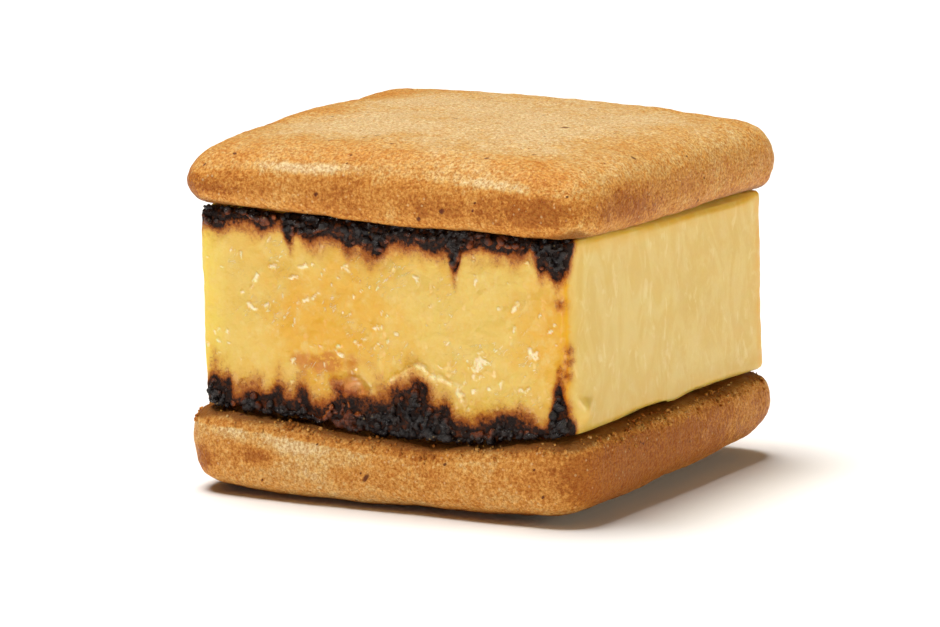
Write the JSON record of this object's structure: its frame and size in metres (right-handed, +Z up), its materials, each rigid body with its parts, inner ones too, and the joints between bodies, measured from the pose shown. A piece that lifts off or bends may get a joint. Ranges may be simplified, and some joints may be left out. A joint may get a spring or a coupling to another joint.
{
  "type": "basque cheesecake biscuit sandwich",
  "caption": "A square block of burnt cheesecake between two thick square biscuits, with crumbly charred crust along the rims of its moulded faces and clean cut faces beside them",
  "frame": {"origin": "under the middle of the stack, on the surface it stands on", "axes": "+Z up; one moulded, charred face of the block looks along -Y and one clean cut face along +X"},
  "size_m": [0.0534, 0.0534, 0.0422],
  "materials": {
    "biscuit": "matte sandy baked biscuit, with a fine open grain",
    "cheesecake": "smooth moist custard, slightly glossy, charred black along the rims"
  },
  "bodies": {
    "root": {"biscuit_top": "biscuit", "cheesecake": "cheesecake", "biscuit_bottom": "biscuit"}
  },
  "joints": []
}
